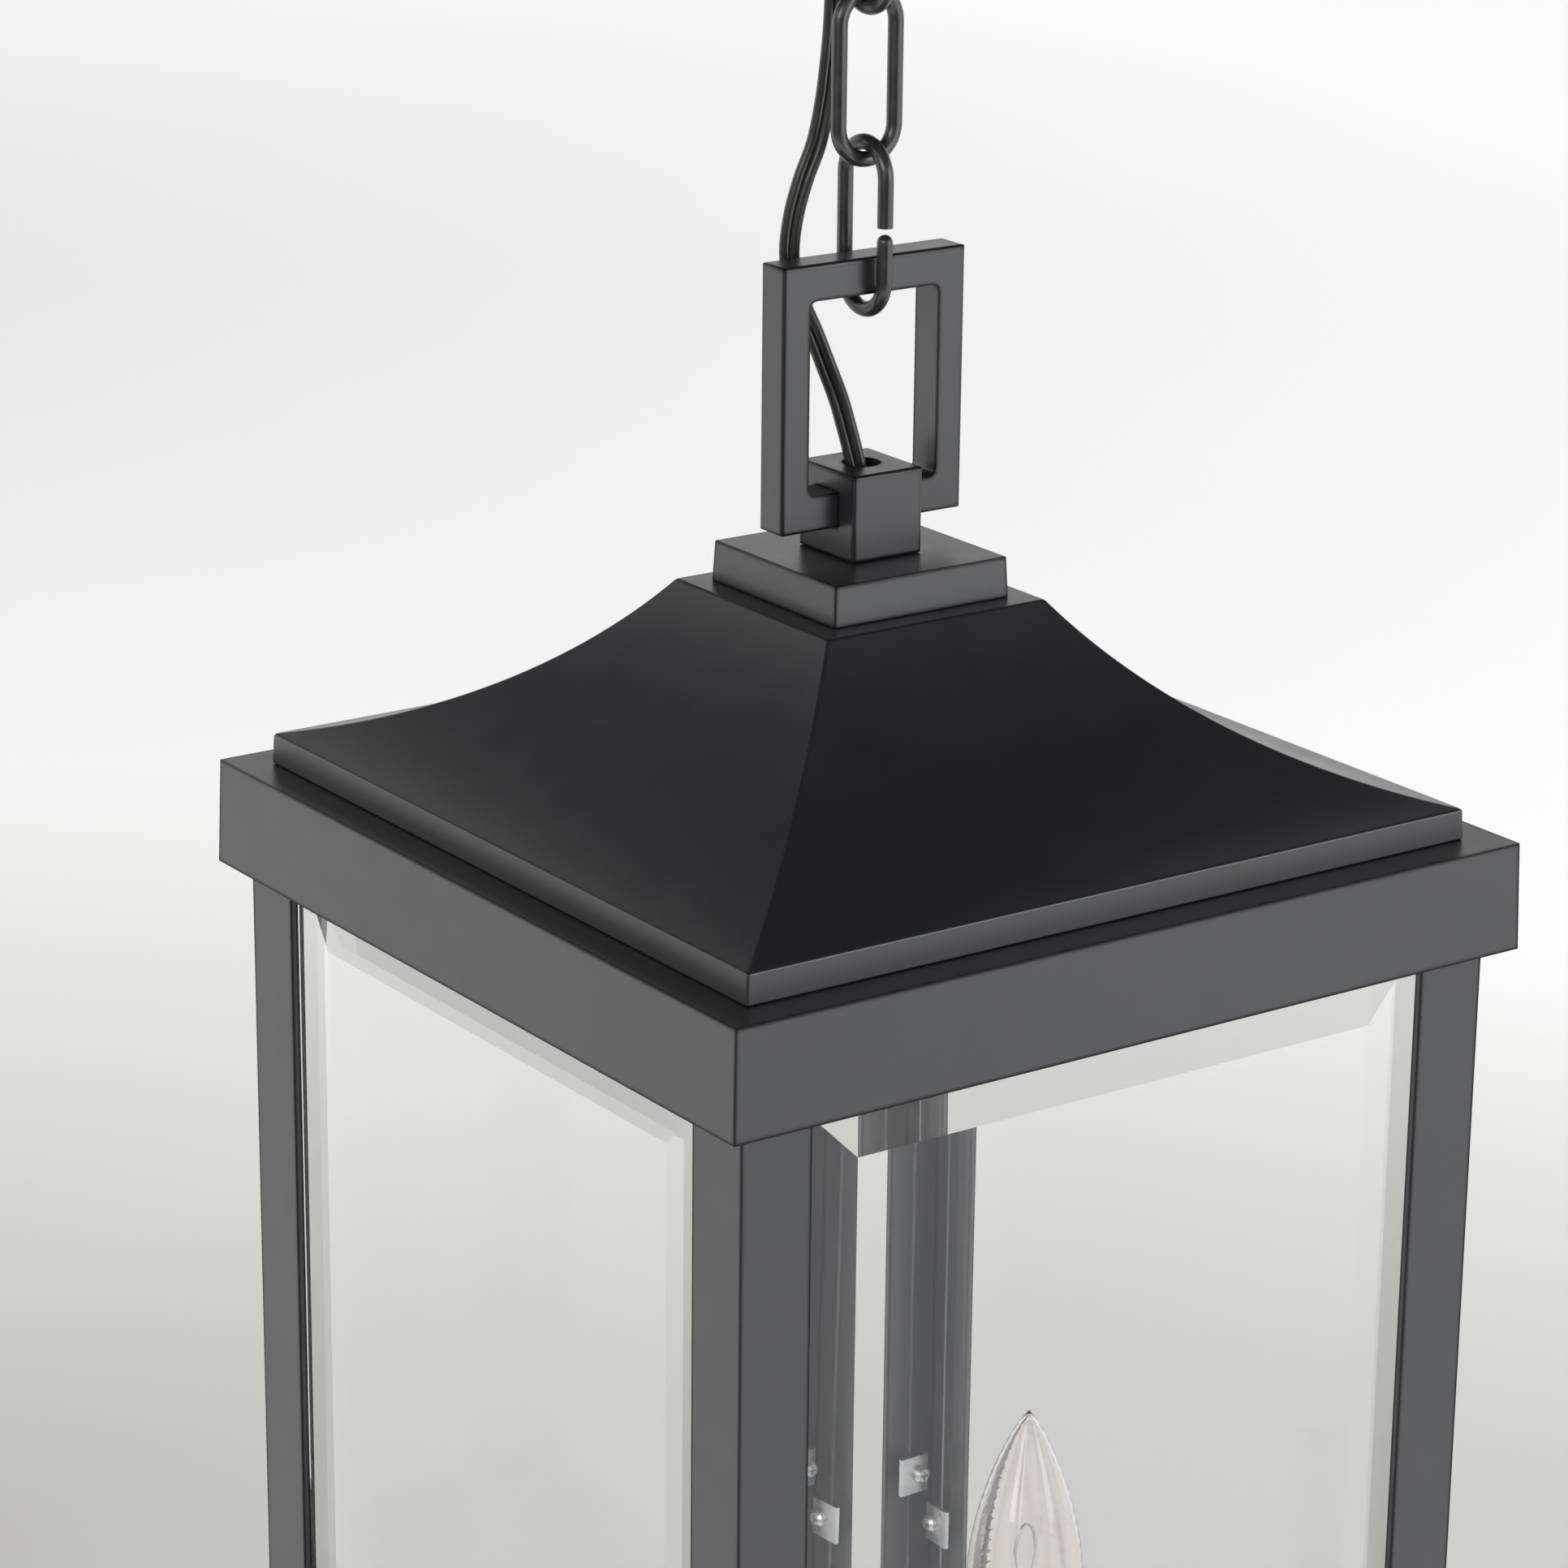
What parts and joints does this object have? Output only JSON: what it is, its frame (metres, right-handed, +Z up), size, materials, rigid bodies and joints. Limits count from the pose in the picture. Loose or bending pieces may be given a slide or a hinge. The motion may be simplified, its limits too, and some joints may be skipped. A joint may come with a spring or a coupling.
{
  "type": "hanging lantern",
  "caption": "Square black hanging lantern with a concave pyramid roof, bevelled glass sides, a rectangular hanging loop, a chain and a round ceiling canopy.",
  "frame": {"origin": "centre of the canopy's ceiling face, midway between the outlet-box slots", "axes": "+Z up, into the ceiling; X along the crossbar and across the face of the hanging loop; -Y is the front"},
  "size_m": [0.2414, 0.2414, 0.7006],
  "materials": {
    "frame_metal": "satin black powder coat",
    "chain_metal": "satin black paint",
    "plated_steel": "zinc plated",
    "green_steel": "green-dyed plating",
    "pane_glass": "clear, bevelled",
    "rubber": "matt",
    "socket_plastic": "moulded",
    "candle_plastic": "satin ivory",
    "bulb_glass": "clear",
    "brass": "plain",
    "connector_plastic": "moulded",
    "cord_sheath": "smooth vinyl"
  },
  "bodies": {
    "ceiling": {"canopy": "frame_metal", "canopy_crossbar": "plated_steel", "canopy_pipe": "plated_steel", "canopy_locknut": "plated_steel", "canopy_ring_nut": "frame_metal", "canopy_loop": "chain_metal", "ground_screw": "green_steel", "supply_leads": "cord_sheath", "wire_connectors": "connector_plastic"},
    "link_upper": {"chain_link_upper": "chain_metal", "cord_canopy": "cord_sheath"},
    "link_middle": {"chain_link_middle": "chain_metal", "cord_upper": "cord_sheath"},
    "link_lower": {"chain_link_lower": "chain_metal", "cord_middle": "cord_sheath"},
    "lantern": {"hanging_loop": "frame_metal", "hanger_block": "frame_metal", "hanger_pipe": "plated_steel", "hanger_washer": "plated_steel", "hanger_locknut": "plated_steel", "cap_block": "frame_metal", "roof_shell": "frame_metal", "roof_screws": "plated_steel", "collar_frame": "frame_metal", "post_front_left": "frame_metal", "post_front_right": "frame_metal", "post_rear_left": "frame_metal", "post_rear_right": "frame_metal", "post_screws": "plated_steel", "pane_front": "pane_glass", "pane_rear": "pane_glass", "pane_left": "pane_glass", "pane_right": "pane_glass", "pane_clips": "plated_steel", "clip_screws": "plated_steel", "pane_pads": "rubber", "base_frame": "frame_metal", "cluster_bar": "frame_metal", "bar_screws": "plated_steel", "cluster_body": "frame_metal", "cluster_cover": "frame_metal", "cluster_pipe": "plated_steel", "cluster_nut": "frame_metal", "finial": "frame_metal", "candle_arms": "frame_metal", "socket_leads": "cord_sheath", "candle_cups": "frame_metal", "lampholders": "socket_plastic", "candle_sleeve_1": "candle_plastic", "candle_sleeve_2": "candle_plastic", "candle_sleeve_3": "candle_plastic", "bulb_1": "bulb_glass", "bulb_2": "bulb_glass", "bulb_3": "bulb_glass", "bulb_shells": "brass", "cord_lower": "cord_sheath", "cord_cage": "cord_sheath", "cord_clips": "rubber"}
  },
  "joints": [
    {"name": "upper_link_swing", "type": "hinge", "parent": "ceiling", "child": "link_upper", "pos_m": [0, 0, -0.067], "axis": [1, 0, 0], "range_deg": [-25, 25], "deforming": ["cord_canopy"]},
    {"name": "middle_link_swing", "type": "hinge", "parent": "link_upper", "child": "link_middle", "pos_m": [0, 0, -0.1037], "axis": [0, 1, 0], "range_deg": [-25, 25], "deforming": ["cord_upper"]},
    {"name": "lower_link_swing", "type": "hinge", "parent": "link_middle", "child": "link_lower", "pos_m": [0, 0, -0.1414], "axis": [1, 0, 0], "range_deg": [-25, 25], "deforming": ["cord_middle"]},
    {"name": "lantern_rock", "type": "hinge", "parent": "link_lower", "child": "lantern", "pos_m": [0, 0, -0.1757], "axis": [0, 1, 0], "range_deg": [-20, 20], "deforming": ["cord_lower"]}
  ]
}
